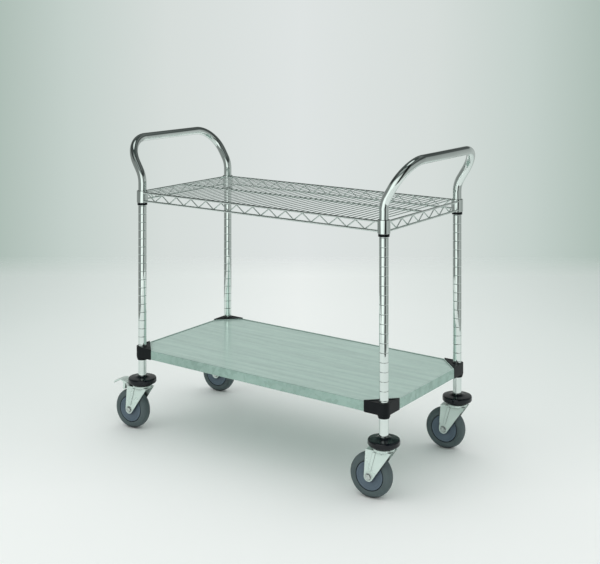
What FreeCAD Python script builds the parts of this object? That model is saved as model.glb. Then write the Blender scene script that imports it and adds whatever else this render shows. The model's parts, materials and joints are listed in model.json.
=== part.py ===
"""Two-shelf utility cart: a wire shelf above a solid sheet shelf, on four grooved posts with a
tube handle at each end and four swivel casters, two of them braked.

Frame: +X along the cart towards the right handle, +Y towards the rear, +Z up, origin on the floor
under the middle of the whole cart. Lengths are millimetres."""

import FreeCAD, Part  # noqa: E401

import math
import os

import Sketcher
from FreeCAD import Placement, Rotation, Vector

doc = FreeCAD.newDocument("utility_cart")

# ---------------------------------------------------------------- driving dimensions
DIMENSIONS = [
    ("centre_shift", 8.57, "post rectangle to the right of the origin, as the pedals stick out left"),
    ("post_span_x", 876.3, "between post axes along the cart, a 36 inch shelf"),
    ("post_span_y", 419.1, "between post axes across the cart, an 18 inch shelf"),
    ("post_radius", 12.7, "one inch tube"),
    ("tube_wall", 1.6, "wall of posts and handles"),
    ("post_bottom", 167.0, "lower end of a post, standing on the bumper's crest"),
    ("post_top", 725.0, "upper end of a post, inside the wire shelf's collar"),
    ("stud_length", 60.0, "joins a handle to a post, half in each"),
    ("groove_first", 263.4, "lowest ring groove"),
    ("groove_pitch", 25.4, "one ring groove per inch"),
    ("groove_count", 18, ""),
    ("groove_depth", 0.6, ""),
    ("groove_width", 2.2, ""),
    ("handle_knee", 787.0, "height where the handle leans out"),
    ("handle_top", 898.0, "height of the grip's centre line"),
    ("handle_reach", 70.0, "grip's centre line beyond the post axis"),
    ("grip_bend", 84.0, "centre line radius of the grip's corners"),
    ("knee_bend", 75.0, "centre line radius of the outward bend"),
    ("collar_bottom", 705.5, ""),
    ("collar_top", 742.0, ""),
    ("collar_radius", 17.3, ""),
    ("sleeve_slim", 14.8, "split sleeve's outer radius at its upper end"),
    ("sleeve_wide", 15.4, "and at its lip"),
    ("sleeve_lip", 8.0, "part of a split sleeve below its collar"),
    ("sleeve_slot", 0.6, "gap between the two halves"),
    ("rim_radius", 2.9, "rim and rib wire"),
    ("rim_low", 711.5, "lower rim wire's centre line"),
    ("rim_high", 737.0, "upper rim wire's centre line"),
    ("rim_out", 8.5, "rim wires beyond the post axes"),
    ("truss_radius", 1.7, "zigzag wire"),
    ("truss_count_x", 14, "zigzags on a long side"),
    ("truss_count_y", 6, "zigzags on a short side"),
    ("truss_end", 28.0, "zigzag starts this far from the post axis"),
    ("truss_top", 733.4, "zigzag's upper bends, under the surface wires"),
    ("deck_radius", 1.5, "surface wire"),
    ("deck_count", 45, "surface wires"),
    ("block_out", 18.0, "corner block's outer faces beyond the post axis"),
    ("block_leg", 70.0, "corner block along each side"),
    ("block_bottom", 226.5, ""),
    ("block_top", 258.5, ""),
    ("block_boss", 17.0, "radius of the collar under a corner block"),
    ("boss_bottom", 221.0, ""),
    ("pan_out", 17.0, "solid shelf's skirt beyond the post axes"),
    ("pan_top", 254.0, "solid shelf's top face"),
    ("pan_bottom", 228.0, ""),
    ("pan_sheet", 1.5, ""),
    ("pan_rim", 2.0, "raised edge above the top face"),
    ("pan_rim_width", 5.0, ""),
    ("rib_width", 60.0, "stiffener under the solid shelf"),
    ("rib_depth", 18.0, ""),
    ("bumper_radius", 43.5, ""),
    ("bumper_bottom", 145.0, ""),
    ("bumper_top", 161.5, "at the outer edge"),
    ("crest_radius", 15.0, "inner edge of the bumper's sloping top"),
    ("stem_length", 50.0, "caster stem inside the post"),
    ("kingpin_radius", 6.0, ""),
    ("race_radius", 27.0, ""),
    ("race_bottom", 141.6, ""),
    ("crown_radius", 29.5, ""),
    ("crown_top", 140.4, ""),
    ("plate_top", 132.6, "fork's top plate"),
    ("plate_bottom", 130.0, ""),
    ("ball_ring", 18.0, ""),
    ("ball_radius", 3.0, ""),
    ("ball_count", 14, ""),
    ("wheel_radius", 60.0, ""),
    ("tyre_width", 32.0, ""),
    ("hub_radius", 39.5, ""),
    ("caster_trail", 36.0, "wheel axle behind the swivel axis"),
    ("swivel_angle", -6.0, "casters turned at rest, degrees, clockwise positive"),
    ("fork_gap", 38.0, "between the legs"),
    ("fork_sheet", 2.6, ""),
    ("leg_radius", 13.0, "round foot of a fork leg"),
    ("leg_front", 30.0, "front of the legs at the crown"),
    ("leg_back", 44.0, "back of the legs"),
    ("axle_radius", 5.0, ""),
    ("bushing_radius", 9.0, ""),
    ("bushing_length", 36.0, ""),
    ("running_gap", 0.05, "radial clearance of turning fits"),
    ("pivot_back", 41.0, "brake pin behind the swivel axis"),
    ("pivot_height", 137.2, ""),
    ("pivot_radius", 3.0, ""),
    ("pedal_width", 36.0, ""),
]
sheet = doc.addObject("Spreadsheet::Sheet", "Dims")
for row, (alias, number, note) in enumerate(DIMENSIONS, start=1):
    sheet.set(f"A{row}", alias)
    sheet.set(f"B{row}", str(number))
    sheet.set(f"C{row}", note)
    sheet.setAlias(f"B{row}", alias)
doc.recompute()


class Term:
    """A number together with the spreadsheet expression it stands for."""

    def __init__(self, number, text):
        self.number = float(number)
        self.text = text

    def __float__(self):
        return self.number

    def __add__(self, other):
        other = term(other)
        return Term(self.number + other.number, f"({self.text} + {other.text})")

    def __sub__(self, other):
        other = term(other)
        return Term(self.number - other.number, f"({self.text} - {other.text})")

    def __mul__(self, other):
        other = term(other)
        return Term(self.number * other.number, f"({self.text} * {other.text})")

    def __truediv__(self, other):
        other = term(other)
        return Term(self.number / other.number, f"({self.text} / {other.text})")

    def __neg__(self):
        return self * -1

    __radd__ = __add__
    __rmul__ = __mul__


def term(item):
    return item if isinstance(item, Term) else Term(item, f"{float(item):.6g}")


def cosine(angle):
    return Term(math.cos(math.radians(angle.number)), f"cos({angle.text} * 1 deg)")


def sine(angle):
    return Term(math.sin(math.radians(angle.number)), f"sin({angle.text} * 1 deg)")


class Sheet:
    """Spreadsheet cells by alias, each as a Term."""

    def __getattr__(self, alias):
        return Term(getattr(sheet, alias), f"Dims.{alias}")


d = Sheet()
CORNERS = {  # name: (sign of X, sign of Y)
    "front_left": (-1, -1),
    "front_right": (1, -1),
    "rear_left": (-1, 1),
    "rear_right": (1, 1),
}
BRAKED = ("front_left", "rear_left")
nodes = []


# ---------------------------------------------------------------- helpers
def post_x(sx):
    return d.centre_shift + d.post_span_x * (sx * 0.5)


def post_y(sy):
    return d.post_span_y * (sy * 0.5)


def bind(obj, **terms):
    """Sets each property and ties it to its spreadsheet expression."""
    for name, item in terms.items():
        item = term(item)
        setattr(obj, name, item.number)
        obj.setExpression(name, item.text)


def seat(obj, x=0, y=0, z=0, turn=None, rotation=None):
    """Places an object; turn is a clockwise angle seen from above."""
    if turn is not None:
        rotation = Rotation(Vector(0, 0, -1), turn.number)
    obj.Placement = Placement(Vector(float(x), float(y), float(z)), rotation or Rotation())
    for axis, item in (("x", x), ("y", y), ("z", z)):
        obj.setExpression(f".Placement.Base.{axis}", term(item).text)
    if turn is not None:
        obj.setExpression(".Placement.Rotation.Angle", turn.text)


def node(obj, name):
    """Marks an object as a finished sub-part."""
    obj.Label = name
    nodes.append(obj)
    return obj


def new_body(name):
    return doc.addObject("PartDesign::Body", f"Body_{name}")


def new_sketch(body, name, plane, height=None):
    sketch = body.newObject("Sketcher::SketchObject", f"{body.Name}_{name}")
    origin_plane = [f for f in body.Origin.OriginFeatures if f.Role == plane][0]
    sketch.AttachmentSupport = [(origin_plane, "")]
    sketch.MapMode = "FlatFace"
    if height is not None:
        sketch.AttachmentOffset = Placement(Vector(0, 0, float(height)), Rotation())
        sketch.setExpression(".AttachmentOffset.Base.z", height.text)
    return sketch


def pin_point(sketch, shape, end, x, y):
    """Fixes a sketch point at (x, y), with the spreadsheet driving both distances."""
    for axis, kind, item in ((-2, "DistanceX", term(x)), (-1, "DistanceY", term(y))):
        if abs(item.number) < 1e-9:
            sketch.addConstraint(Sketcher.Constraint("PointOnObject", shape, end, axis))
            continue
        index = sketch.addConstraint(
            Sketcher.Constraint(kind, -1, 1, shape, end, item.number))
        sketch.setExpression(f"Constraints[{index}]", item.text)


def outline(sketch, points):
    """A closed polygon through the points."""
    corners = [Vector(float(x), float(y), 0) for x, y in points]
    first = sketch.GeometryCount
    count = len(corners)
    for i in range(count):
        sketch.addGeometry(Part.LineSegment(corners[i], corners[(i + 1) % count]))
    for i in range(count):
        sketch.addConstraint(Sketcher.Constraint(
            "Coincident", first + i, 2, first + (i + 1) % count, 1))
        pin_point(sketch, first + i, 1, *points[i])


def circle(sketch, x, y, radius):
    centre = Vector(float(x), float(y), 0)
    shape = sketch.addGeometry(Part.Circle(centre, Vector(0, 0, 1), float(radius)))
    pin_point(sketch, shape, 3, x, y)
    index = sketch.addConstraint(Sketcher.Constraint("Radius", shape, float(radius)))
    sketch.setExpression(f"Constraints[{index}]", term(radius).text)


def arc_end(sketch, arc, line, line_end):
    """Which end of an arc, 1 or 2, lies at the given end of a line."""
    point = sketch.getPoint(line, line_end)
    return min((1, 2), key=lambda end: (sketch.getPoint(arc, end) - point).Length)


def feature(body, kind, sketch, **terms):
    made = body.newObject(f"PartDesign::{kind}", f"{sketch.Name}_{kind}")
    made.Profile = sketch
    bind(made, **terms)
    sketch.Visibility = False
    return made


def revolve(body, sketch, kind="Revolution"):
    made = feature(body, kind, sketch)
    made.ReferenceAxis = (sketch, ["V_Axis"])
    made.Angle = 360.0
    return made


def turned(name, profile, plane="XZ_Plane"):
    """A body of revolution about its own Z (XZ_Plane) or Y (XY_Plane) axis."""
    body = new_body(name)
    sketch = new_sketch(body, "profile", plane)
    outline(sketch, profile)
    revolve(body, sketch)
    return body


def primitive(kind, name, **terms):
    made = doc.addObject(f"Part::{kind}", name)
    bind(made, **terms)
    return made


def subtract(name, base, tool):
    made = doc.addObject("Part::Cut", name)
    made.Base = base
    made.Tool = tool
    return made


def gather(name, pieces):
    made = doc.addObject("Part::Compound", name)
    made.Links = pieces
    return made


def fuse(name, pieces):
    made = doc.addObject("Part::MultiFuse", name)
    made.Shapes = pieces
    return made


def rounded_path(points, radii):
    """A wire through 3-D points, its inner corners rounded to the given radii."""
    edges = []
    start = points[0]
    for before, corner, after, radius in zip(points, points[1:], points[2:], radii):
        to_before = (before - corner).normalize()
        to_after = (after - corner).normalize()
        half = to_before.getAngle(to_after) / 2
        enter = corner + to_before * (radius / math.tan(half))
        leave = corner + to_after * (radius / math.tan(half))
        inward = (to_before + to_after).normalize()
        middle = corner + inward * (radius / math.sin(half) - radius)
        edges.append(Part.makeLine(start, enter))
        edges.append(Part.Arc(enter, middle, leave).toShape())
        start = leave
    edges.append(Part.makeLine(start, points[-1]))
    return Part.Wire(edges)


def sweep_round(path, radius, mitred=False):
    """A round bar along a wire."""
    first = path.OrderedVertexes[0].Point
    second = path.OrderedVertexes[1].Point
    ring = Part.Wire([Part.makeCircle(radius, first, second - first)])
    return path.makePipeShell([ring], True, False, 1 if mitred else 0)


# ---------------------------------------------------------------- posts
def make_post(name, sx, sy):
    inner = d.post_radius - d.tube_wall
    body = turned(name, [
        (inner, d.post_bottom), (d.post_radius, d.post_bottom),
        (d.post_radius, d.post_top), (inner, d.post_top)])
    groove = new_sketch(body, "groove", "XZ_Plane")
    half = d.groove_width / 2
    outline(groove, [
        (d.post_radius - d.groove_depth, d.groove_first),
        (d.post_radius + d.groove_depth, d.groove_first - half * 2),
        (d.post_radius + d.groove_depth, d.groove_first + half * 2)])
    cut = revolve(body, groove, "Groove")
    rings = body.newObject("PartDesign::LinearPattern", f"{body.Name}_rings")
    rings.Originals = [cut]
    rings.Direction = (groove, ["V_Axis"])
    bind(rings, Length=d.groove_pitch * (d.groove_count - 1))
    rings.Occurrences = int(float(d.groove_count))
    rings.setExpression("Occurrences", d.groove_count.text)
    body.Tip = rings
    seat(body, post_x(sx), post_y(sy))
    node(body, f"post_{name}")


# ---------------------------------------------------------------- handles
def make_handle(name, sx):
    """A bent tube; its path leaves the post plane, so it is swept rather than sketched."""
    half = float(d.post_span_y) / 2
    reach = float(d.handle_reach) * sx
    foot, knee, top = float(d.post_top), float(d.handle_knee), float(d.handle_top)
    points = [
        Vector(0, -half, foot), Vector(0, -half, knee), Vector(reach, -half, top),
        Vector(reach, half, top), Vector(0, half, knee), Vector(0, half, foot)]
    knee_bend, grip_bend = float(d.knee_bend), float(d.grip_bend)
    path = rounded_path(points, [knee_bend, grip_bend, grip_bend, knee_bend])
    outside = sweep_round(path, float(d.post_radius))
    inside = sweep_round(path, float(d.post_radius - d.tube_wall))
    tube = doc.addObject("Part::Feature", f"Handle_{name}")
    tube.Shape = outside.cut(inside)
    seat(tube, post_x(sx))
    node(tube, f"handle_{name}")


def make_studs():
    studs = []
    for name, (sx, sy) in CORNERS.items():
        stud = primitive("Cylinder", f"Stud_{name}",
                         Radius=d.post_radius - d.tube_wall, Height=d.stud_length)
        seat(stud, post_x(sx), post_y(sy), d.post_top - d.stud_length / 2)
        studs.append(stud)
    node(gather("Studs", studs), "handle_studs")


# ---------------------------------------------------------------- split sleeves and collars
def make_sleeves(name, bottom, top):
    """Four tapered sleeves, each in two halves, that wedge a shelf onto the posts."""
    sleeves = []
    for corner, (sx, sy) in CORNERS.items():
        place = (post_x(sx), post_y(sy), bottom)
        wedge = primitive("Cone", f"{name}_wedge_{corner}", Radius1=d.sleeve_wide,
                          Radius2=d.sleeve_slim, Height=top - bottom)
        seat(wedge, *place)
        bore = primitive("Cylinder", f"{name}_bore_{corner}", Radius=d.post_radius,
                         Height=top - bottom)
        seat(bore, *place)
        slot = primitive("Box", f"{name}_slot_{corner}", Length=d.sleeve_slot,
                         Width=d.sleeve_wide * 3, Height=top - bottom)
        seat(slot, post_x(sx) - d.sleeve_slot / 2, post_y(sy) - d.sleeve_wide * 1.5, bottom)
        ring = subtract(f"{name}_ring_{corner}", wedge, bore)
        sleeves.append(subtract(f"{name}_halves_{corner}", ring, slot))
    node(gather(name, sleeves), name)


def make_collars():
    bottom = d.collar_bottom - d.sleeve_lip
    collars = []
    for corner, (sx, sy) in CORNERS.items():
        barrel = primitive("Cylinder", f"Barrel_{corner}", Radius=d.collar_radius,
                           Height=d.collar_top - d.collar_bottom)
        seat(barrel, post_x(sx), post_y(sy), d.collar_bottom)
        taper = primitive("Cone", f"Taper_{corner}", Radius1=d.sleeve_wide,
                          Radius2=d.sleeve_slim, Height=d.collar_top - bottom)
        seat(taper, post_x(sx), post_y(sy), bottom)
        collars.append(subtract(f"Collar_{corner}", barrel, taper))
    node(gather("Collars", collars), "wire_shelf_collars")


# ---------------------------------------------------------------- wire shelf
def bar(name, radius, length, x, y, z, along):
    """A round wire centred at (x, y, z), running along X or Y."""
    wire = primitive("Cylinder", name, Radius=radius, Height=length)
    if along == "x":
        seat(wire, x - length / 2, y, z, rotation=Rotation(Vector(0, 1, 0), 90))
    else:
        seat(wire, x, y - length / 2, z, rotation=Rotation(Vector(1, 0, 0), -90))
    return wire


def make_rims():
    wires = []
    for level, z in (("low", d.rim_low), ("high", d.rim_high)):
        for side in (-1, 1):
            y = (d.post_span_y / 2 + d.rim_out) * side
            wires.append(bar(f"Rim_{level}_long_{side + 1}", d.rim_radius, d.post_span_x,
                             d.centre_shift, y, z, "x"))
            x = d.centre_shift + (d.post_span_x / 2 + d.rim_out) * side
            wires.append(bar(f"Rim_{level}_short_{side + 1}", d.rim_radius, d.post_span_y,
                             x, term(0), z, "y"))
    barrels = []
    for corner, (sx, sy) in CORNERS.items():
        barrel = primitive("Cylinder", f"Weld_{corner}", Radius=d.collar_radius,
                           Height=d.collar_top - d.collar_bottom)
        seat(barrel, post_x(sx), post_y(sy), d.collar_bottom)
        barrels.append(barrel)
    rims = subtract("Rims", gather("Rim_wires", wires), gather("Rim_ends", barrels))
    node(rims, "wire_shelf_rims")


def zigzag(length, count):
    """Points of a zigzag along X, between the two rim wires."""
    low, high = float(d.rim_low), float(d.truss_top)
    points = [Vector(-length / 2, 0, high)]
    for i in range(count):
        points.append(Vector(length * ((i + 0.5) / count - 0.5), 0, low))
        points.append(Vector(length * ((i + 1.0) / count - 0.5), 0, high))
    return points


def make_truss():
    """Zigzag wires inside all four sides, bent to and fro, so each is swept."""
    bend = float(d.truss_radius) * 2.2
    span_x = float(d.post_span_x)
    span_y = float(d.post_span_y)
    inset = float(d.rim_out - d.rim_radius - d.truss_radius)
    pieces = []
    for length, offset, count, turn in (
            (span_x, span_y / 2 + inset, float(d.truss_count_x), 0),
            (span_y, span_x / 2 + inset, float(d.truss_count_y), 90)):
        points = zigzag(length - 2 * float(d.truss_end), int(count))
        path = rounded_path(points, [bend] * (len(points) - 2))
        wire = sweep_round(path, float(d.truss_radius))
        for side in (-1, 1):
            copy = wire.copy()
            copy.translate(Vector(0, offset * side, 0))
            copy.rotate(Vector(0, 0, 0), Vector(0, 0, 1), turn)
            pieces.append(copy)
    truss = doc.addObject("Part::Feature", "Truss")
    truss.Shape = Part.Compound(pieces)
    seat(truss, d.centre_shift)
    node(truss, "wire_shelf_truss")


def make_deck():
    """Surface wires between the long upper rim wires, flush with their tops, and a rib below."""
    count = int(float(d.deck_count))
    length = d.post_span_y + d.rim_out * 2
    height = d.rim_high + d.rim_radius - d.deck_radius
    wires = []
    for i in range(count):
        share = (i + 1) / (count + 1) - 0.5
        wires.append(bar(f"Deck_{i:02d}", d.deck_radius, length,
                         d.centre_shift + d.post_span_x * share, term(0), height, "y"))
    edges = []
    for side in (-1, 1):
        y = (d.post_span_y / 2 + d.rim_out) * side
        edges.append(bar(f"Deck_edge_{side + 1}", d.rim_radius, d.post_span_x,
                         d.centre_shift, y, d.rim_high, "x"))
    deck = subtract("Deck", gather("Deck_wires", wires), gather("Deck_edges", edges))
    node(deck, "wire_shelf_deck")
    reach = d.rim_out - d.rim_radius - d.truss_radius * 2
    rib = bar("Rib", d.rim_radius, d.post_span_x + reach * 2, d.centre_shift, term(0),
              height - d.deck_radius - d.rim_radius, "x")
    node(rib, "wire_shelf_rib")


# ---------------------------------------------------------------- solid shelf
def make_corner_block(name, sx, sy):
    """A three-cornered block, rounded about the post, with a collar below."""
    out, leg = d.block_out, d.block_leg
    body = new_body(f"block_{name}")
    plan = new_sketch(body, "plan", "XY_Plane", d.block_bottom)
    tip = leg - out
    points = [(term(0), out), (-tip, out), (out, -tip), (out, term(0))]
    placed = [(x * sx, y * sy) for x, y in points]
    corners = [Vector(float(x), float(y), 0) for x, y in placed]
    for i in range(3):
        plan.addGeometry(Part.LineSegment(corners[i], corners[i + 1]))
    middle = Vector(sx, sy, 0).normalize() * float(out)
    plan.addGeometry(Part.Arc(corners[3], middle, corners[0]))
    for i in range(3):
        pin_point(plan, i, 1, *placed[i])
    pin_point(plan, 2, 2, *placed[3])
    plan.addConstraint(Sketcher.Constraint("Coincident", 0, 2, 1, 1))
    plan.addConstraint(Sketcher.Constraint("Coincident", 1, 2, 2, 1))
    for line, line_end in ((0, 1), (2, 2)):
        plan.addConstraint(Sketcher.Constraint(
            "Coincident", 3, arc_end(plan, 3, line, line_end), line, line_end))
    index = plan.addConstraint(Sketcher.Constraint("Radius", 3, float(out)))
    plan.setExpression(f"Constraints[{index}]", out.text)
    feature(body, "Pad", plan, Length=d.block_top - d.block_bottom)
    under = new_sketch(body, "boss", "XY_Plane", d.boss_bottom)
    circle(under, 0, 0, d.block_boss)
    feature(body, "Pad", under, Length=d.block_bottom - d.boss_bottom + 1)
    recess = new_sketch(body, "recess", "XY_Plane", d.block_top)
    edge = 3.5
    near = out + 1.0
    far = tip - edge * 3
    outline(recess, [(-near * sx, (out - edge) * sy), (-far * sx, (out - edge) * sy),
                     ((out - edge) * sx, -far * sy), ((out - edge) * sx, -near * sy)])
    feature(body, "Pocket", recess, Length=1.0)
    bore = new_sketch(body, "bore", "XZ_Plane")
    low, high = d.boss_bottom - 4, d.block_top
    outline(bore, [(0, low), (d.sleeve_wide, low), (d.sleeve_slim, high), (0, high)])
    revolve(body, bore, "Groove")
    seat(body, post_x(sx), post_y(sy))
    node(body, f"corner_block_{name}")


def eight_sided(inset):
    """The solid shelf's plan with its four corners cut to meet the blocks, drawn in by inset."""
    x = d.post_span_x / 2 + d.pan_out - inset
    y = d.post_span_y / 2 + d.pan_out - inset
    cut = d.block_leg - d.block_out * 2 + d.pan_out * 2 - inset * 0.585786
    return [(x, -y + cut), (x, y - cut), (x - cut, y), (-x + cut, y),
            (-x, y - cut), (-x, -y + cut), (-x + cut, -y), (x - cut, -y)]


def make_pan():
    body = new_body("pan")
    plan = new_sketch(body, "plan", "XY_Plane", d.pan_bottom)
    outline(plan, eight_sided(term(0)))
    feature(body, "Pad", plan, Length=d.pan_top - d.pan_bottom)
    rim = new_sketch(body, "rim", "XY_Plane", d.pan_top)
    outline(rim, eight_sided(term(0)))
    outline(rim, eight_sided(d.pan_rim_width))
    raised = feature(body, "Pad", rim, Length=d.pan_rim)
    doc.recompute()
    crest = float(d.pan_top + d.pan_rim)
    edges = []
    for i, edge in enumerate(raised.Shape.Edges, start=1):
        if all(abs(v.Z - crest) < 1e-4 for v in edge.Vertexes):
            edges.append(f"Edge{i}")
    soft = body.newObject("PartDesign::Fillet", "Pan_soft_edge")
    soft.Base = (raised, edges)
    bind(soft, Radius=d.pan_rim * 0.9)
    hollow = new_sketch(body, "hollow", "XY_Plane", d.pan_top - d.pan_sheet)
    outline(hollow, eight_sided(d.pan_sheet))
    feature(body, "Pocket", hollow, Length=d.pan_top - d.pan_bottom)
    seat(body, d.centre_shift)
    node(body, "solid_shelf")

    stiffener = new_body("stiffener")
    hat = new_sketch(stiffener, "hat", "YZ_Plane")
    half, sheet_z = d.rib_width / 2, d.pan_top - d.pan_sheet
    foot = sheet_z - d.rib_depth
    lip = half + 15
    outline(hat, [
        (-lip, sheet_z), (-lip, sheet_z - d.pan_sheet), (-half, sheet_z - d.pan_sheet),
        (-half, foot), (half, foot), (half, sheet_z - d.pan_sheet),
        (lip, sheet_z - d.pan_sheet), (lip, sheet_z), (half - d.pan_sheet, sheet_z),
        (half - d.pan_sheet, foot + d.pan_sheet), (-half + d.pan_sheet, foot + d.pan_sheet),
        (-half + d.pan_sheet, sheet_z)])
    rail = feature(stiffener, "Pad", hat, Length=d.post_span_x - 10)
    rail.Midplane = True
    seat(stiffener, d.centre_shift)
    node(stiffener, "solid_shelf_stiffener")


# ---------------------------------------------------------------- casters
def make_stem(name):
    inner = d.post_radius - d.tube_wall
    pin = d.kingpin_radius
    foot = d.plate_bottom - 0.4
    return turned(f"stem_{name}", [
        (0, foot - 5), (pin * 0.9, foot - 5), (pin * 1.5, foot - 2), (pin * 1.5, foot),
        (pin, foot), (pin, d.bumper_bottom), (inner, d.bumper_bottom),
        (inner, d.post_bottom + d.stem_length - 3), (inner - 3, d.post_bottom + d.stem_length),
        (0, d.post_bottom + d.stem_length)])


def make_bumper(name):
    inner = d.post_radius - d.tube_wall
    low, high, wide = d.bumper_bottom, d.bumper_top, d.bumper_radius
    return turned(f"bumper_{name}", [
        (inner, low), (wide - 5, low), (wide - 1.6, low + 1.2), (wide, low + 4),
        (wide, high - 4), (wide - 1.4, high - 1), (wide - 4.5, high),
        (d.crest_radius + 8, high + 1.5), (d.crest_radius, d.post_bottom - 1),
        (d.crest_radius - 1, d.post_bottom), (inner, d.post_bottom)])


def ball_track(body):
    """The groove that the balls run in."""
    track = new_sketch(body, "track", "XZ_Plane")
    middle = (d.race_bottom + d.crown_top) / 2
    circle(track, d.ball_ring, middle, d.ball_radius + d.running_gap)
    revolve(body, track, "Groove")


def make_race(name):
    body = turned(f"race_{name}", [
        (d.kingpin_radius, d.race_bottom), (d.race_radius, d.race_bottom),
        (d.race_radius, d.bumper_bottom), (d.kingpin_radius, d.bumper_bottom)])
    ball_track(body)
    return body


def make_balls(name, sx, sy):
    count = int(float(d.ball_count))
    middle = (d.race_bottom + d.crown_top) / 2
    balls = []
    for i in range(count):
        ball = primitive("Sphere", f"Ball_{name}_{i:02d}", Radius=d.ball_radius)
        angle = term(360.0 * i / count)
        seat(ball, post_x(sx) + d.ball_ring * cosine(angle),
             post_y(sy) + d.ball_ring * sine(angle), middle)
        balls.append(ball)
    node(gather(f"Balls_{name}", balls), f"balls_{name}")


def leg_profile(sketch):
    """Side view of a fork leg: straight back, slanting front and a round foot."""
    radius, trail, axle = float(d.leg_radius), float(d.caster_trail), float(d.wheel_radius)
    front, back, top = float(d.leg_front), float(d.leg_back), float(d.plate_top)
    dx, dz = front + trail, top - axle
    reach = math.hypot(dx, dz)
    lean = math.atan2(dz, dx) - math.acos(radius / reach)
    touch = Vector(-trail + radius * math.cos(lean), axle + radius * math.sin(lean), 0)
    back_foot = Vector(-trail - radius, axle, 0)
    corners = [Vector(-back, top, 0), Vector(front, top, 0)]
    sketch.addGeometry(Part.LineSegment(back_foot, corners[0]))
    sketch.addGeometry(Part.LineSegment(corners[0], corners[1]))
    sketch.addGeometry(Part.LineSegment(corners[1], touch))
    middle = Vector(-trail, axle - radius, 0)
    sketch.addGeometry(Part.Arc(touch, middle, back_foot))
    sketch.addConstraint(Sketcher.Constraint("Coincident", 0, 2, 1, 1))
    sketch.addConstraint(Sketcher.Constraint("Coincident", 1, 2, 2, 1))
    pin_point(sketch, 1, 1, -d.leg_back, d.plate_top)
    pin_point(sketch, 1, 2, d.leg_front, d.plate_top)
    pin_point(sketch, 0, 1, -(d.caster_trail + d.leg_radius), d.wheel_radius)
    pin_point(sketch, 3, 3, -d.caster_trail, d.wheel_radius)
    sketch.addConstraint(Sketcher.Constraint("Coincident", 3, arc_end(sketch, 3, 0, 1), 0, 1))
    sketch.addConstraint(Sketcher.Constraint("Tangent", 2, 2, 3, arc_end(sketch, 3, 2, 2)))


def make_fork(name):
    body = new_body(f"fork_{name}")
    width = d.fork_gap + d.fork_sheet * 2
    side = new_sketch(body, "side", "XZ_Plane")
    leg_profile(side)
    feature(body, "Pad", side, Length=width).Midplane = True
    crease = new_sketch(body, "crease", "XZ_Plane")
    outline(crease, [(-14, 128), (-22, 128), (-35, 78), (-29, 76)])
    feature(body, "Pad", crease, Length=width + 2.4).Midplane = True
    if name in BRAKED:
        ears = new_sketch(body, "ears", "XZ_Plane")
        back, high = d.pivot_back, d.pivot_height
        outline(ears, [(-back + 6, d.plate_bottom), (-back + 6, high + 2), (-back + 3, high + 5),
                       (-back - 3, high + 5), (-back - 6, high + 2), (-back - 6, high - 3),
                       (-d.leg_back, d.plate_bottom)])
        feature(body, "Pad", ears, Length=width).Midplane = True
        room = new_sketch(body, "room", "XZ_Plane")
        outline(room, [(-back + 8, d.plate_top), (-back + 8, high + 8),
                       (-back - 9, high + 8), (-back - 9, d.plate_top)])
        feature(body, "Pocket", room, Length=d.fork_gap).Midplane = True
        pin_hole = new_sketch(body, "pin_hole", "XZ_Plane")
        circle(pin_hole, -back, high, d.pivot_radius)
        feature(body, "Pocket", pin_hole, Length=width + 4).Midplane = True
    gap = new_sketch(body, "gap", "XZ_Plane")
    outline(gap, [(-90, 20), (60, 20), (60, d.plate_bottom), (-90, d.plate_bottom)])
    feature(body, "Pocket", gap, Length=d.fork_gap).Midplane = True
    crown = new_sketch(body, "crown", "XZ_Plane")
    wide, low, high = d.crown_radius, d.plate_bottom, d.crown_top
    outline(crown, [(0, low), (wide - 3, low), (wide, low + 3), (wide, high - 2.5),
                    (wide - 2.5, high), (0, high)])
    revolve(body, crown)
    ball_track(body)
    bore = new_sketch(body, "bore", "XZ_Plane")
    pin = d.kingpin_radius + d.running_gap
    outline(bore, [(0, low - 2), (pin, low - 2), (pin, high + 2), (0, high + 2)])
    revolve(body, bore, "Groove")
    axle_hole = new_sketch(body, "axle_hole", "XZ_Plane")
    circle(axle_hole, -d.caster_trail, d.wheel_radius, d.axle_radius)
    feature(body, "Pocket", axle_hole, Length=width + 4).Midplane = True
    return body


def cross_bar(name, radius, head, head_length, x, z, sides=6):
    """A bolt or pin across the fork: shank, head and nut in one."""
    inner = d.fork_gap / 2 + d.fork_sheet
    shank = primitive("Cylinder", f"Shank_{name}", Radius=radius, Height=inner * 2)
    ends = [shank]
    flat = Rotation(Vector(1, 0, 0), -90)
    seat(shank, x, -inner, z, rotation=flat)
    for i, y in enumerate((-inner - head_length, inner)):
        if sides:
            cap = primitive("Prism", f"Cap_{name}_{i}", Circumradius=head, Height=head_length)
            cap.Polygon = sides
        else:
            cap = primitive("Cylinder", f"Cap_{name}_{i}", Radius=head, Height=head_length)
        seat(cap, x, y, z, rotation=flat)
        ends.append(cap)
    made = fuse(f"Bolt_{name}", ends)
    return made


def make_tyre(name):
    half, wide, hub = d.tyre_width / 2, d.wheel_radius, d.hub_radius
    return turned(f"tyre_{name}", [
        (hub, -half + 5), (hub + 1.2, -half + 1.2), (wide - 12, -half), (wide - 5, -half + 2.2),
        (wide - 1.2, -half + 7), (wide, term(-4.0)), (wide, term(4.0)),
        (wide - 1.2, half - 7), (wide - 5, half - 2.2), (wide - 12, half),
        (hub + 1.2, half - 1.2), (hub, half - 5)], "XY_Plane")


def make_hub(name):
    half, hub, bush = d.tyre_width / 2 - 1.5, d.hub_radius, d.bushing_radius
    return turned(f"hub_{name}", [
        (bush, -half - 1.5), (bush + 5, -half - 1.5), (bush + 7, -half + 2.5),
        (hub - 8, -half + 1.5), (hub - 5, -half), (hub - 1.2, -half), (hub, -half + 4),
        (hub, half - 4), (hub - 1.2, half), (hub - 5, half), (hub - 8, half - 1.5),
        (bush + 7, half - 2.5), (bush + 5, half + 1.5), (bush, half + 1.5)], "XY_Plane")


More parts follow.
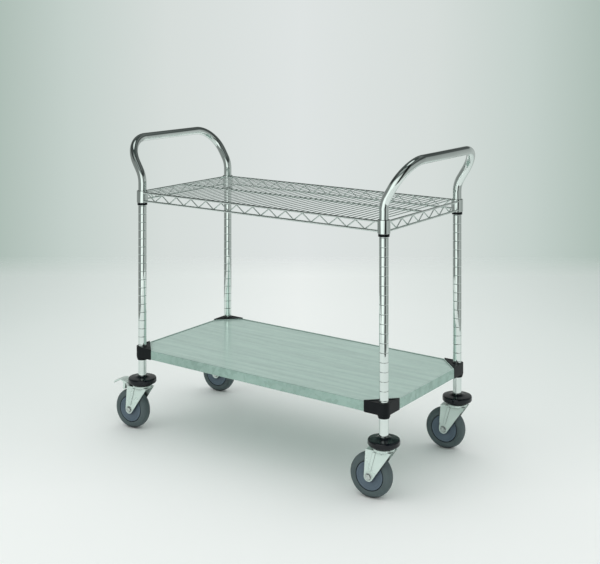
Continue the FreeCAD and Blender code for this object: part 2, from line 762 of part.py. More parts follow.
def make_bushing(name):
    inner, outer, half = d.axle_radius + d.running_gap, d.bushing_radius, d.bushing_length / 2
    return turned(f"bushing_{name}", [
        (inner, -half), (outer, -half), (outer, half), (inner, half)], "XY_Plane")


def make_pedal(name):
    """A bent plate over the wheel: a toe pad outside and a shoe that presses on the tread."""
    body = new_body(f"pedal_{name}")
    back, high = d.pivot_back, d.pivot_height
    arch = new_sketch(body, "arch", "XZ_Plane")
    outline(arch, [
        (-back + 5, high - 1), (-back + 5, high + 3), (-back, high + 5), (-back - 10, high + 5.5),
        (-back - 23, high + 9), (-back - 33, high + 10.5), (-back - 43, high + 8),
        (-back - 54, high + 2), (-back - 57.5, high - 2), (-back - 56.5, high - 5),
        (-back - 55, high - 2), (-back - 43, high + 5.2), (-back - 33, high + 7.6),
        (-back - 25, high + 6.5), (-back - 20, high + 1), (-back - 21.5, high - 18.7),
        (-back - 14.5, high - 17.2), (-back - 11, high + 1), (-back - 5, high - 3.2),
        (-back, high - 4)])
    feature(body, "Pad", arch, Length=d.pedal_width).Midplane = True
    bore = new_sketch(body, "bore", "XZ_Plane")
    circle(bore, -back, high, d.pivot_radius + d.running_gap)
    feature(body, "Pocket", bore, Length=d.pedal_width + 4).Midplane = True
    return body


def make_caster(name, sx, sy):
    turn = d.swivel_angle
    x, y = post_x(sx), post_y(sy)
    for maker in (make_stem, make_bumper, make_race, make_fork):
        body = maker(name)
        seat(body, x, y, 0, turn=turn)
        node(body, f"{maker.__name__[5:]}_{name}")
    make_balls(name, sx, sy)
    wheel_x = x - d.caster_trail * cosine(turn)
    wheel_y = y + d.caster_trail * sine(turn)
    for maker in (make_tyre, make_hub, make_bushing):
        body = maker(name)
        seat(body, wheel_x, wheel_y, d.wheel_radius, turn=turn)
        node(body, f"{maker.__name__[5:]}_{name}")
    axle = cross_bar(f"axle_{name}", d.axle_radius, term(8.0), term(4.5),
                     -d.caster_trail, d.wheel_radius)
    seat(axle, x, y, 0, turn=turn)
    node(axle, f"axle_{name}")
    if name in BRAKED:
        pedal = make_pedal(name)
        seat(pedal, x, y, 0, turn=turn)
        node(pedal, f"pedal_{name}")
        pin = cross_bar(f"pin_{name}", d.pivot_radius, term(4.4), term(1.6),
                        -d.pivot_back, d.pivot_height, sides=0)
        seat(pin, x, y, 0, turn=turn)
        node(pin, f"pedal_pin_{name}")


# ---------------------------------------------------------------- assembly
for corner_name, (side_x, side_y) in CORNERS.items():
    make_post(corner_name, side_x, side_y)
    make_corner_block(corner_name, side_x, side_y)
    make_caster(corner_name, side_x, side_y)
make_handle("left", -1)
make_handle("right", 1)
make_studs()
make_sleeves("upper_split_sleeves", d.collar_bottom - d.sleeve_lip, d.collar_top)
make_sleeves("lower_split_sleeves", d.boss_bottom - 4, d.block_top)
make_collars()
make_rims()
make_truss()
make_deck()
make_pan()
doc.recompute()

# ---------------------------------------------------------------- checks and export
broken = [obj.Name for obj in doc.Objects if {"Invalid", "Error"} & set(obj.State)]
if broken:
    raise RuntimeError(f"not computed: {broken}")
for obj in nodes:
    if obj.Shape.isNull() or not obj.Shape.isValid():
        raise RuntimeError(f"{obj.Label}: bad shape")
    if obj.Shape.Volume <= 0:
        raise RuntimeError(f"{obj.Label}: no volume")

os.makedirs("parts", exist_ok=True)
for obj in nodes:
    obj.Shape.exportStep(f"parts/{obj.Label}.step")

whole = Part.Compound([obj.Shape for obj in nodes]).BoundBox
print(f"{len(nodes)} nodes, X {whole.XMin:.2f} {whole.XMax:.2f}, "
      f"Y {whole.YMin:.2f} {whole.YMax:.2f}, Z {whole.ZMin:.2f} {whole.ZMax:.2f}")
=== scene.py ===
"""Looks for the utility cart: materials, small details, a pale studio and the camera."""

import json
import math

import bmesh
import bpy
from mathutils import Matrix, Vector


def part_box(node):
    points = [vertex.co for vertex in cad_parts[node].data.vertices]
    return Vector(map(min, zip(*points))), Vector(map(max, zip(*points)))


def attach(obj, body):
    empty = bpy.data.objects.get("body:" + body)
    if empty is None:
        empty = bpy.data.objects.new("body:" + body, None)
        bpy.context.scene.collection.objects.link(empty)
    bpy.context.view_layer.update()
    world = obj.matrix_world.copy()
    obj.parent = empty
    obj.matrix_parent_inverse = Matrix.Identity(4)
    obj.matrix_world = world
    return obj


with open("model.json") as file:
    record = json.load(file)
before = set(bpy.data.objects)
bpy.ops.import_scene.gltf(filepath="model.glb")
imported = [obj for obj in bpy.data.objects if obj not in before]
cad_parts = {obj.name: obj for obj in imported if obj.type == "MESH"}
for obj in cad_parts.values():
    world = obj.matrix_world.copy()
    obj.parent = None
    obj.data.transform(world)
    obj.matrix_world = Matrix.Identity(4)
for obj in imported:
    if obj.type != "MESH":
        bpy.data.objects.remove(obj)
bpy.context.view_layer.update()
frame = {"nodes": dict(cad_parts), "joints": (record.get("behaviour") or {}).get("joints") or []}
nodes = frame["nodes"]
scene = bpy.context.scene
scene.view_settings.view_transform = "Standard"

CORNERS = ("front_left", "front_right", "rear_left", "rear_right")
BRAKED = ("front_left", "rear_left")
WHITE = (1.0, 1.0, 1.0)
MIX_COLOURS = (6, 7, 2)  # a Mix node's sockets: first colour, second colour, result
MIX_VECTORS = (4, 5, 1)  # the same for vectors


def add_object(name, data):
    obj = bpy.data.objects.new(name, data)
    scene.collection.objects.link(obj)
    return obj


# ---------------------------------------------------------------- shader nodes
def new_material(name):
    """A material, its node tree, its shader and the object's own coordinates."""
    material = bpy.data.materials.new(name)
    material.use_nodes = True
    tree = material.node_tree
    return material, tree, tree.nodes["Principled BSDF"], coordinates(tree, "Object")


def coordinates(tree, kind):
    return tree.nodes.new("ShaderNodeTexCoord").outputs[kind]


def parts_of(tree, vector):
    """A vector's X, Y and Z."""
    node = tree.nodes.new("ShaderNodeSeparateXYZ")
    tree.links.new(vector, node.inputs["Vector"])
    return node.outputs


def noise(tree, coords, scale, detail=4.0, stretch=None):
    texture = tree.nodes.new("ShaderNodeTexNoise")
    texture.inputs["Scale"].default_value = scale
    texture.inputs["Detail"].default_value = detail
    if stretch:
        mapping = tree.nodes.new("ShaderNodeMapping")
        mapping.inputs["Scale"].default_value = stretch
        tree.links.new(coords, mapping.inputs["Vector"])
        coords = mapping.outputs["Vector"]
    tree.links.new(coords, texture.inputs["Vector"])
    return texture.outputs["Fac"]


def ramp(tree, factor, stops):
    """A colour that runs through the stops, which are (position, colour)."""
    node = tree.nodes.new("ShaderNodeValToRGB")
    elements = node.color_ramp.elements
    while len(elements) < len(stops):
        elements.new(0.5)
    for element, (position, colour) in zip(elements, stops):
        element.position = position
        element.color = (*colour, 1.0)
    tree.links.new(factor, node.inputs["Fac"])
    return node.outputs["Color"]


def math_node(tree, operation, *items):
    node = tree.nodes.new("ShaderNodeMath")
    node.operation = operation
    for socket, item in zip(node.inputs, items):
        if isinstance(item, (int, float)):
            socket.default_value = item
        else:
            tree.links.new(item, socket)
    return node.outputs["Value"]


def span(tree, factor, low, high, to_low, to_high):
    """Maps low..high to to_low..to_high, and stops at both ends."""
    node = tree.nodes.new("ShaderNodeMapRange")
    values = (("From Min", low), ("From Max", high), ("To Min", to_low), ("To Max", to_high))
    for name, value in values:
        node.inputs[name].default_value = value
    tree.links.new(factor, node.inputs["Value"])
    return node.outputs["Result"]


def mix_node(tree, factor, sockets, first, second):
    """A new Mix node, linked to the two inputs, and its result; the factor may be a number."""
    node = tree.nodes.new("ShaderNodeMix")
    node.data_type = "RGBA" if sockets == MIX_COLOURS else "VECTOR"
    if isinstance(factor, (int, float)):
        node.inputs["Factor"].default_value = factor
    else:
        tree.links.new(factor, node.inputs["Factor"])
    tree.links.new(first, node.inputs[sockets[0]])
    tree.links.new(second, node.inputs[sockets[1]])
    return node, node.outputs[sockets[2]]


def pick(tree, factor, first, second):
    """The first colour, or the second where the factor is 1."""
    return mix_node(tree, factor, MIX_COLOURS, first, second)[1]


def multiply(tree, first, second):
    """The product of two colours."""
    node, product = mix_node(tree, 1.0, MIX_COLOURS, first, second)
    node.blend_type = "MULTIPLY"
    return product


def bump(tree, shader, height, strength, distance):
    node = tree.nodes.new("ShaderNodeBump")
    node.inputs["Strength"].default_value = strength
    node.inputs["Distance"].default_value = distance
    tree.links.new(height, node.inputs["Height"])
    tree.links.new(node.outputs["Normal"], shader.inputs["Normal"])


def painted_crevice_shade(tree, colour, depth, darkest):
    """The colour with painted shade: darkened by ambient occlusion in corners and gaps."""
    occlusion = tree.nodes.new("ShaderNodeAmbientOcclusion")
    occlusion.inputs["Distance"].default_value = depth
    occlusion.samples = 8
    return multiply(tree, colour, span(tree, occlusion.outputs["AO"], 0.35, 0.95, darkest, 1.0))


# ---------------------------------------------------------------- materials
def plain(name, dark, light, metallic, rough, scale, grain=0.05, grain_scale=900.0,
          specular=0.5, painted_shade_in_crevices=0.0):
    """A surface whose colour and roughness drift between two values, with a fine grain, and
    optional painted shade in its corners and gaps.
    """
    material, tree, shader, coords = new_material(name)
    drift = noise(tree, coords, scale)
    colour = ramp(tree, drift, ((0.3, dark), (0.7, light)))
    # painted shade: ambient occlusion darkens the colour in corners and gaps
    if painted_shade_in_crevices:
        colour = painted_crevice_shade(tree, colour, 0.012, painted_shade_in_crevices)
    tree.links.new(colour, shader.inputs["Base Color"])
    shader.inputs["Specular IOR Level"].default_value = specular
    tree.links.new(span(tree, drift, 0.3, 0.7, *rough), shader.inputs["Roughness"])
    shader.inputs["Metallic"].default_value = metallic
    bump(tree, shader, noise(tree, coords, grain_scale, 2.0), grain, 0.0002)
    return material


def spangle(tree, coords):
    """Two random values for each crystal flake of the zinc; the flakes' edges are wavy."""
    wobble = tree.nodes.new("ShaderNodeTexNoise")
    wobble.inputs["Scale"].default_value = 60.0
    tree.links.new(coords, wobble.inputs["Vector"])
    wavy = mix_node(tree, 0.012, MIX_VECTORS, coords, wobble.outputs["Color"])[1]
    flakes = tree.nodes.new("ShaderNodeTexVoronoi")
    flakes.inputs["Scale"].default_value = 85.0
    flakes.inputs["Randomness"].default_value = 1.0
    tree.links.new(wavy, flakes.inputs["Vector"])
    split = tree.nodes.new("ShaderNodeSeparateColor")
    tree.links.new(flakes.outputs["Color"], split.inputs["Color"])
    return split.outputs["Red"], split.outputs["Green"]


def galvanised():
    """Hot-dip zinc: flakes of spangle, each its own shade, with long rolling marks, and painted
    shade on its upright sides and in its crevices.
    """
    material, tree, shader, coords = new_material("galvanised")
    tone, gloss = spangle(tree, coords)
    normal = tree.nodes.new("ShaderNodeNewGeometry").outputs["Normal"]
    upward = parts_of(tree, normal)["Z"]
    contrast = span(tree, upward, 0.3, 0.9, 0.5, 0.10)
    tone = math_node(tree, "MULTIPLY_ADD", math_node(tree, "SUBTRACT", tone, 0.5), contrast, 0.5)
    colour = ramp(tree, tone, ((0.0, (0.46, 0.62, 0.56)), (0.5, (0.63, 0.82, 0.75)),
                               (1.0, (0.74, 0.90, 0.84))))
    marks = ramp(tree, noise(tree, coords, 7.0, 5.0, stretch=(0.6, 9.0, 1.0)),
                 ((0.35, (0.88, 0.88, 0.88)), (0.65, WHITE)))
    # painted shade: the pan's upright sides are darker than its top
    painted_side_shade = ramp(tree, upward, ((0.2, (0.56, 0.62, 0.60)), (0.9, WHITE)))
    colour = multiply(tree, multiply(tree, colour, marks), painted_side_shade)
    # painted shade in corners and gaps, such as the dark line along the raised rim
    tree.links.new(painted_crevice_shade(tree, colour, 0.010, 0.20), shader.inputs["Base Color"])
    tree.links.new(span(tree, gloss, 0, 1, 0.15, 0.21), shader.inputs["Roughness"])
    shader.inputs["Metallic"].default_value = 0.40
    bump(tree, shader, noise(tree, coords, 30.0, 3.0), 0.03, 0.0004)
    return material


MATERIALS = {
    "chrome": plain(
        "chrome", dark=(0.70, 0.765, 0.74), light=(0.78, 0.84, 0.815), metallic=1.0,
        rough=(0.02, 0.05), scale=9.0, grain=0.015, grain_scale=300.0),
    "wire": plain(
        "wire_chrome", dark=(0.66, 0.73, 0.70), light=(0.78, 0.84, 0.815), metallic=1.0,
        rough=(0.14, 0.24), scale=30.0, grain=0.03, grain_scale=500.0),
    "galvanised": galvanised(),
    "black": plain(
        "black_plastic", dark=(0.0025, 0.0045, 0.0055), light=(0.005, 0.0075, 0.009),
        metallic=0.0, rough=(0.30, 0.42), scale=40.0, grain=0.06, grain_scale=1400.0,
        specular=0.16),
    "bumper": plain(
        "bumper_rubber", dark=(0.0025, 0.004, 0.006), light=(0.005, 0.0075, 0.011),
        metallic=0.0, rough=(0.10, 0.18), scale=30.0, grain=0.02, specular=0.34),
    "zinc": plain(
        "zinc_plate", dark=(0.66, 0.775, 0.725), light=(0.74, 0.85, 0.80), metallic=0.5,
        rough=(0.24, 0.34), scale=18.0, grain=0.02, painted_shade_in_crevices=0.12),
    "tyre": plain(
        "tyre_rubber", dark=(0.070, 0.098, 0.102), light=(0.092, 0.124, 0.128), metallic=0.0,
        rough=(0.50, 0.64), scale=25.0, grain=0.12, grain_scale=1200.0, specular=0.35,
        painted_shade_in_crevices=0.2),
    "hub": plain(
        "hub_plastic", dark=(0.082, 0.120, 0.158), light=(0.104, 0.146, 0.186), metallic=0.0,
        rough=(0.36, 0.46), scale=30.0, grain=0.06, grain_scale=1000.0, specular=0.4,
        painted_shade_in_crevices=0.35),
    "steel": plain(
        "bright_steel", dark=(0.48, 0.52, 0.51), light=(0.62, 0.66, 0.64), metallic=1.0,
        rough=(0.22, 0.34), scale=80.0, painted_shade_in_crevices=0.3),
}
FINISH = (  # start of a node's name, material; the first match counts, and the rest are steel
    ("post", "chrome"), ("handle", "chrome"), ("wire_shelf_collars", "chrome"),
    ("wire_shelf", "wire"), ("solid_shelf", "galvanised"), ("corner_block", "black"),
    ("bumper", "bumper"), ("upper_split", "black"), ("lower_split", "black"), ("fork", "zinc"),
    ("pedal_pin", "steel"), ("pedal", "zinc"), ("race", "zinc"), ("tyre", "tyre"),
    ("hub", "hub"),
)
BEVELS = {  # start of a node's name, width of its rounded edges; pedal pins have none
    "corner_block": 0.0012, "fork": 0.0004, "pedal_front": 0.0007, "pedal_rear": 0.0007,
    "wire_shelf_collars": 0.0008, "axle": 0.0005,
}
BEVEL_ABOVE = 40  # edges that turn by more than this many degrees are bevelled
SMOOTH_BELOW = 32  # edges that turn by less than this many degrees look rounded
GROOVED_BELOW = 18  # the posts' grooves slope by 28 degrees and have to stay crisp
WELD_WITHIN = 0.00001


def finish_for(name):
    for start, key in FINISH:
        if name.startswith(start):
            return MATERIALS[key]
    return MATERIALS["steel"]


def soften(obj, bevel, angle):
    """Welds the mesh, rounds its sharp edges and shades the rest smooth."""
    weld = obj.modifiers.new("weld", "WELD")
    weld.merge_threshold = WELD_WITHIN
    if bevel:
        rounded = obj.modifiers.new("bevel", "BEVEL")
        rounded.width = bevel
        rounded.segments = 2
        rounded.limit_method = "ANGLE"
        rounded.angle_limit = math.radians(BEVEL_ABOVE)
    split = obj.modifiers.new("split", "EDGE_SPLIT")
    split.split_angle = math.radians(angle)
    weighted = obj.modifiers.new("weighted", "WEIGHTED_NORMAL")
    weighted.weight = 90
    for face in obj.data.polygons:
        face.use_smooth = True


for name, obj in nodes.items():
    obj.data.materials.clear()
    obj.data.materials.append(finish_for(name))
    if obj.data.has_custom_normals:  # they would win over the modifiers' normals
        obj.data.attributes.remove(obj.data.attributes["custom_normal"])
    bevel = next((width for start, width in BEVELS.items() if name.startswith(start)), 0.0)
    soften(obj, bevel, GROOVED_BELOW if name.startswith("post") else SMOOTH_BELOW)


# ---------------------------------------------------------------- small details
ZIGZAGS_LONG, ZIGZAGS_SHORT = 14, 6  # on a long and on a short side of the wire shelf
ZIGZAG_END = 0.028  # a zigzag starts this far from the post's axis
COLLAR = 0.0169  # just inside a collar's surface
THIN_BEAD, THICK_BEAD = 0.0015, 0.0016
WASHER = (0.0078, 0.0014, 0.0006)  # radius, half width, tube
WASHER_OUT = 0.0216  # from a wheel's middle plane, against the fork's outer face
TREAD_LINE = (-0.0003, 0.0002, 0.00035)  # radius beyond the tread's, half width, tube
RIDGES = ((0.0450, 0.0070), (0.0485, 0.0051), (0.0520, 0.0032))  # out from the pin, above it
RIDGE_SECTION = ((-0.0013, -0.0004), (-0.0007, 0.0006), (0.0007, 0.0006), (0.0013, -0.0004))
RIDGE_HALF = 0.0135  # half of a ridge's length
RIDGE_BEVEL = 0.0003
TOE_RUN, TOE_FALL = 11, 6  # slope of the toe pad under the ridges

rim_low, rim_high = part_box("wire_shelf_rims")
rim_wire = (rim_high.z - rim_low.z) * 0.093  # a rim wire's radius, from the rims' full height
lower_rim, upper_rim = rim_low.z + rim_wire, rim_high.z - rim_wire


def centre(node):
    low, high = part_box(node)
    return (low + high) / 2


def hinge(name):
    """A joint's position and direction."""
    joint = next(j for j in frame["joints"] if j["name"] == name)
    return Vector(joint["pos_m"]), Vector(joint["axis"]).normalized()


def new_piece(name, mesh, body, material, smooth=True):
    obj = add_object(name, mesh)
    mesh.materials.append(MATERIALS[material])
    if smooth:
        for face in mesh.polygons:
            face.use_smooth = True
    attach(obj, body)
    return obj


def to_mesh(build, name):
    mesh = bpy.data.meshes.new(name)
    build.to_mesh(mesh)
    build.free()
    return mesh


def beads(spots, size):
    """Small flattened weld beads; each spot is (position, half lengths in sizes)."""
    build = bmesh.new()
    for spot, stretch in spots:
        scaled = Matrix.Translation(spot) @ Matrix.Diagonal((*[c * size for c in stretch], 1.0))
        bmesh.ops.create_icosphere(build, subdivisions=1, radius=1.0, matrix=scaled)
    return to_mesh(build, "beads")


def rings(places, profile, sides=8, steps=40):
    """Round-edged rings: each place is (centre, axis), profile is (radius, half width, tube)."""
    radius, flat, tube = profile
    build = bmesh.new()
    for spot, axis in places:
        place = Matrix.Translation(spot) @ axis.to_track_quat("Z", "Y").to_matrix().to_4x4()
        loops = []
        for i in range(steps):
            angle = 2 * math.pi * i / steps
            loop = []
            for k in range(sides):
                around = 2 * math.pi * (k + 0.5) / sides
                r = radius + flat * math.copysign(1, math.cos(around)) + tube * math.cos(around)
                z = tube * math.sin(around)
                point = Vector((r * math.cos(angle), r * math.sin(angle), z))
                loop.append(build.verts.new(place @ point))
            loops.append(loop)
        for i in range(steps):
            this, following = loops[i], loops[(i + 1) % steps]
            for k in range(sides):
                n = (k + 1) % sides
                build.faces.new((this[k], following[k], following[n], this[n]))
    bmesh.ops.recalc_face_normals(build, faces=build.faces)
    return to_mesh(build, "rings")


def zigzag_welds():
    """Beads where the bends of the zigzags meet the rim wires."""
    left, right = centre("post_front_left"), centre("post_front_right")
    rear = centre("post_rear_left")
    inset = rim_wire * 1.7
    spots = []
    for count, start, stop, along_x in ((ZIGZAGS_LONG, left.x, right.x, True),
                                        (ZIGZAGS_SHORT, left.y, rear.y, False)):
        start, stop = start + ZIGZAG_END, stop - ZIGZAG_END
        for bend in range(1, 2 * count):
            share = bend / (2 * count)
            place = start + (stop - start) * share
            z = lower_rim if bend % 2 else upper_rim - THIN_BEAD
            if along_x:
                for y in (rim_low.y + inset, rim_high.y - inset):
                    spots.append((Vector((place, y, z)), (2.4, 1.0, 0.9)))
            else:
                for x in (rim_low.x + inset, rim_high.x - inset):
                    spots.append((Vector((x, place, z)), (1.0, 2.4, 0.9)))
    new_piece("zigzag_welds", beads(spots, THIN_BEAD), "frame", "wire")


def surface_wires(top, apart):
    """The x of each surface wire, found from the highest points of their mesh."""
    points = nodes["wire_shelf_deck"].data.vertices
    found = []
    for x in sorted({round(v.co.x, 4) for v in points if abs(v.co.z - top) < 0.00012}):
        if not found or x - found[-1] > apart:
            found.append(x)
    return found


def surface_welds():
    """Beads where the surface wires meet the front and rear rims and the centre rib."""
    low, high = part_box("wire_shelf_deck")
    radius = (high.z - low.z) / 2
    spots = []
    for x in surface_wires(high.z, radius * 3):
        for y in (low.y, high.y):
            spots.append((Vector((x, y, low.z + radius)), (1.25, 1.3, 1.05)))
        spots.append((Vector((x, 0.0, low.z + radius * 0.3)), (1.2, 1.0, 0.9)))
    new_piece("surface_welds", beads(spots, THICK_BEAD), "frame", "wire")


def collar_welds():
    """Beads where the rim wires meet the corner collars."""
    spots = []
    for name in CORNERS:
        post = centre(f"post_{name}")
        in_x = -1 if post.x > 0 else 1
        in_y = -1 if post.y > 0 else 1
        rim_x = (rim_low.x + rim_wire) if post.x < 0 else (rim_high.x - rim_wire)
        rim_y = (rim_low.y + rim_wire) if post.y < 0 else (rim_high.y - rim_wire)
        for z in (lower_rim, upper_rim):
            off = math.sqrt(COLLAR ** 2 - (rim_y - post.y) ** 2)
            spots.append((Vector((post.x + in_x * off, rim_y, z)), (1.0, 2.3, 2.3)))
            off = math.sqrt(COLLAR ** 2 - (rim_x - post.x) ** 2)
            spots.append((Vector((rim_x, post.y + in_y * off, z)), (2.3, 1.0, 2.3)))
    new_piece("collar_welds", beads(spots, THICK_BEAD), "frame", "wire")


def caster_details(name):
    """Washers under the axle's head and nut, and a moulding line round the tread."""
    hub, axis = hinge(f"spin_{name}")
    washers = rings([(hub + axis * WASHER_OUT, axis), (hub - axis * WASHER_OUT, axis)], WASHER)
    new_piece(f"washers_{name}", washers, f"caster_{name}", "steel")
    low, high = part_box(f"tyre_{name}")
    beyond, flat, tube = TREAD_LINE
    profile = ((high.z - low.z) / 2 + beyond, flat, tube)
    line = rings([(hub, axis)], profile, sides=6, steps=96)
    new_piece(f"tread_line_{name}", line, f"wheel_{name}", "tyre")


def pedal_details(name):
    """Three pressed ridges across the toe pad."""
    pivot, across = hinge(f"brake_{name}")
    away = Vector((-abs(across.y), -across.x, 0)).normalized()
    slope = (away * TOE_RUN - Vector((0, 0, TOE_FALL))).normalized()
    up = across.cross(slope)
    up = up if up.z > 0 else -up
    build = bmesh.new()
    for reach, height in RIDGES:
        base = pivot + away * reach + Vector((0, 0, height))
        near, far = ([build.verts.new(base + across * side + slope * u + up * v)
                      for u, v in RIDGE_SECTION] for side in (-RIDGE_HALF, RIDGE_HALF))
        for k in range(len(near)):
            n = (k + 1) % len(near)
            build.faces.new((near[k], near[n], far[n], far[k]))
        build.faces.new(near[::-1])
        build.faces.new(far)
    bmesh.ops.recalc_face_normals(build, faces=build.faces)
    obj = new_piece(f"toe_ridges_{name}", to_mesh(build, "ridges"), f"pedal_{name}", "zinc",
                    smooth=False)
    edge = obj.modifiers.new("bevel", "BEVEL")
    edge.width = RIDGE_BEVEL
    edge.segments = 2


zigzag_welds()
surface_welds()
collar_welds()
for corner in CORNERS:
    caster_details(corner)
for corner in BRAKED:
    pedal_details(corner)


# ---------------------------------------------------------------- stage
# The camera stands level, with its lens shifted down, so that posts stay upright.
shelf_low, shelf_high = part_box("solid_shelf")
MIDDLE_X = (shelf_low.x + shelf_high.x) / 2
CAMERA_SPOT = Vector((MIDDLE_X + 1.945, -2.707, 1.261))
CAMERA_YAW = math.radians(35.48)
CAMERA_TURN = math.atan2(CAMERA_SPOT.y, CAMERA_SPOT.x - MIDDLE_X) / (2 * math.pi) % 1.0
LENS, LENS_SHIFT = 65.79, -0.4302

KEY_SPOT, KEY_AIM = Vector((-1.2, -2.8, 3.4)), Vector((0, 0, 0.4))
KEY_SIZE, KEY_POWER = 2.2, 9.0

FLOOR_HALF = 14.0
FLOOR_FADES = (5.5, 5.95)  # metres from the camera between which the floor gives way

CARDS_RADIUS, CARDS_HEIGHT, CARDS_BOTTOM, CARDS_SIDES = 1.75, 4.2, 0.004, 96
CARDS = (  # degrees from the camera's side, brightness
    (-180, 0.36), (-140, 0.36), (-120, 0.24), (-52, 0.22), (-44, 0.80), (-36, 1.06),
    (-8, 1.06), (0, 0.85), (11, 0.70), (17, 0.02), (33, 0.02), (43, 0.42), (60, 0.40),
    (90, 0.30), (120, 0.46), (145, 0.36), (180, 0.36))
CARDS_UP = (  # share of the cards' height, brightness
    (0.0, (1.12, 1.12, 1.12)), (0.19, (1.12, 1.12, 1.12)), (0.24, WHITE),
    (0.31, (0.92, 0.92, 0.92)), (0.36, (0.22, 0.23, 0.23)), (0.46, (0.16, 0.17, 0.17)),
    (0.66, (0.40, 0.41, 0.41)), (1.0, (0.10, 0.11, 0.11)))


def picture_place(tree):
    """Distance from the picture's middle column, and height in the picture, both 0 to 1."""
    place = parts_of(tree, coordinates(tree, "Window"))
    side = math_node(tree, "ABSOLUTE", math_node(tree, "SUBTRACT", place["X"], 0.5))
    return side, place["Y"]


def make_floor():
    """A pale floor with painted shade that darkens it towards the picture's far corners, and that
    fades into the backdrop.
    """
    mesh = bpy.data.meshes.new("floor")
    half = FLOOR_HALF
    mesh.from_pydata([(-half, -half, 0), (half, -half, 0), (half, half, 0), (-half, half, 0)],
                     [], [(0, 1, 2, 3)])
    floor = add_object("floor", mesh)
    material, tree, shader, _ = new_material("studio_floor")
    shader.inputs["Roughness"].default_value = 0.75
    shader.inputs["Specular IOR Level"].default_value = 0.2
    side, height = picture_place(tree)
    falloff = math_node(tree, "MULTIPLY", side, span(tree, height, 0.12, 0.55, 0.0, 1.0))
    # painted shade: the floor's colour darkens towards the picture's far corners, where the light
    # falls off
    painted_floor_falloff = ramp(tree, falloff, ((0.0, (0.955, 0.975, 0.965)), (0.3, (0.76, 0.81, 0.79)),
                                (0.5, (0.60, 0.665, 0.635))))
    tree.links.new(painted_floor_falloff, shader.inputs["Base Color"])
    distance = tree.nodes.new("ShaderNodeCameraData").outputs["View Z Depth"]
    seen = tree.nodes.new("ShaderNodeLightPath").outputs["Is Camera Ray"]
    hidden = math_node(tree, "MULTIPLY", span(tree, distance, *FLOOR_FADES, 0.0, 1.0), seen)
    clear = tree.nodes.new("ShaderNodeBsdfTransparent")
    mix = tree.nodes.new("ShaderNodeMixShader")
    tree.links.new(hidden, mix.inputs["Fac"])
    tree.links.new(shader.outputs["BSDF"], mix.inputs[1])
    tree.links.new(clear.outputs["BSDF"], mix.inputs[2])
    tree.links.new(mix.outputs["Shader"], tree.nodes["Material Output"].inputs["Surface"])
    mesh.materials.append(material)


def make_world():
    """A pale backdrop for the camera with painted shade towards its sides, an even soft light, and
    a darker room for reflections.
    """
    world = bpy.data.worlds.new("studio")
    scene.world = world
    world.use_nodes = True
    tree = world.node_tree
    side, _ = picture_place(tree)
    # painted shade: the backdrop darkens towards the picture's sides, where the light falls off
    painted_backdrop_falloff = ramp(tree, side, ((0.0, (0.735, 0.775, 0.768)), (0.22, (0.675, 0.725, 0.705)),
                             (0.38, (0.555, 0.635, 0.600)), (0.5, (0.430, 0.520, 0.475))))
    upward = parts_of(tree, coordinates(tree, "Generated"))["Z"]
    even = ramp(tree, span(tree, upward, -0.2, 1.0, 0.0, 1.0),
                ((0.0, (0.62, 0.65, 0.64)), (0.5, (0.80, 0.825, 0.815)), (1.0, (0.98, 1.0, 0.99))))
    mirrored = ramp(tree, upward,
                    ((0.0, (0.50, 0.57, 0.545)), (0.55, (0.14, 0.17, 0.16)),
                     (0.955, (0.05, 0.065, 0.06)), (0.975, (0.75, 0.80, 0.78)),
                     (1.0, (1.0, 1.05, 1.03))))
    path = tree.nodes.new("ShaderNodeLightPath")
    colour = pick(tree, path.outputs["Is Glossy Ray"], even, mirrored)
    colour = pick(tree, path.outputs["Is Camera Ray"], colour, painted_backdrop_falloff)
    tree.links.new(colour, tree.nodes["Background"].inputs["Color"])


def cards_mesh():
    """An open tube round the cart."""
    points, faces = [], []
    for i in range(CARDS_SIDES):
        angle = 2 * math.pi * i / CARDS_SIDES
        for z in (CARDS_BOTTOM, CARDS_HEIGHT):
            points.append((CARDS_RADIUS * math.cos(angle), CARDS_RADIUS * math.sin(angle), z))
    for i in range(CARDS_SIDES):
        a, b = 2 * i, 2 * ((i + 1) % CARDS_SIDES)
        faces.append((a, a + 1, b + 1, b))
    mesh = bpy.data.meshes.new("cards")
    mesh.from_pydata(points, [], faces)
    return mesh


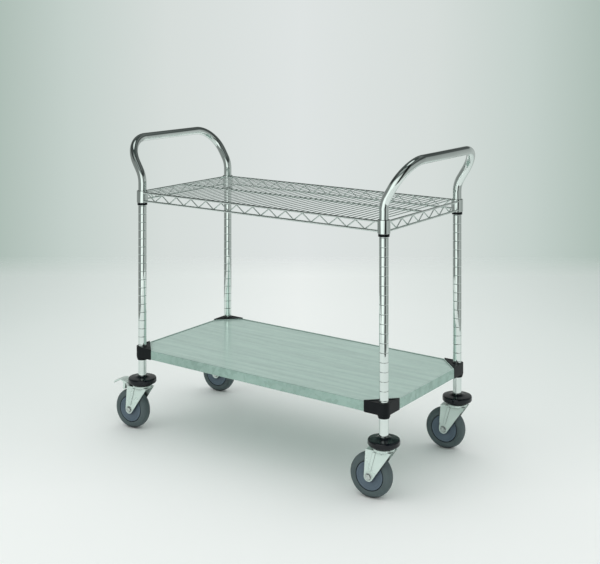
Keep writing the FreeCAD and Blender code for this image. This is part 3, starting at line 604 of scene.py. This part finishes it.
def make_cards():
    """A ring of pale and dark cards that only mirrors see; it draws the streaks in chrome."""
    cards = add_object("cards", cards_mesh())
    cards.visible_camera = False
    cards.visible_diffuse = False
    cards.visible_transmission = False
    cards.visible_shadow = False
    material, tree, shader, coords = new_material("cards")
    tree.nodes.remove(shader)
    place = parts_of(tree, coords)
    angle = math_node(tree, "ARCTAN2", place["Y"], place["X"])
    share = math_node(tree, "DIVIDE", angle, 2 * math.pi)
    turn = math_node(tree, "FRACT", math_node(tree, "ADD", share, 1.5 - CAMERA_TURN))
    around = ramp(tree, turn, [(0.5 + degrees / 360, (v, v * 1.06, v * 1.03))
                               for degrees, v in CARDS])
    up = ramp(tree, math_node(tree, "DIVIDE", place["Z"], CARDS_HEIGHT), CARDS_UP)
    glow = tree.nodes.new("ShaderNodeEmission")
    tree.links.new(multiply(tree, around, up), glow.inputs["Color"])
    tree.links.new(glow.outputs["Emission"], tree.nodes["Material Output"].inputs["Surface"])
    cards.data.materials.append(material)


def make_key_light():
    light = bpy.data.lights.new("key", "AREA")
    light.energy = KEY_POWER
    light.size = KEY_SIZE
    obj = add_object("key", light)
    obj.location = KEY_SPOT
    obj.rotation_mode = "QUATERNION"
    obj.rotation_quaternion = (KEY_AIM - KEY_SPOT).to_track_quat("-Z", "Y")


def make_camera():
    """The camera, with a driver that takes the lens shift off when it is moved elsewhere."""
    data = bpy.data.cameras.new("camera")
    data.sensor_width = 36.0
    data.lens = LENS
    data.clip_end = 100.0
    camera = add_object("camera", data)
    camera.location = CAMERA_SPOT
    camera.rotation_euler = (math.radians(90), 0, CAMERA_YAW)
    data.shift_y = LENS_SHIFT
    driver = data.driver_add("shift_y").driver
    driver.type = "SCRIPTED"
    variable = driver.variables.new()
    variable.name = "x"
    variable.type = "TRANSFORMS"
    variable.targets[0].id = camera
    variable.targets[0].transform_type = "LOC_X"
    variable.targets[0].transform_space = "WORLD_SPACE"
    driver.expression = f"{LENS_SHIFT} if abs(x - {CAMERA_SPOT.x:.5f}) < 0.001 else 0"
    scene.camera = camera


make_floor()
make_world()
make_cards()
make_camera()
make_key_light()
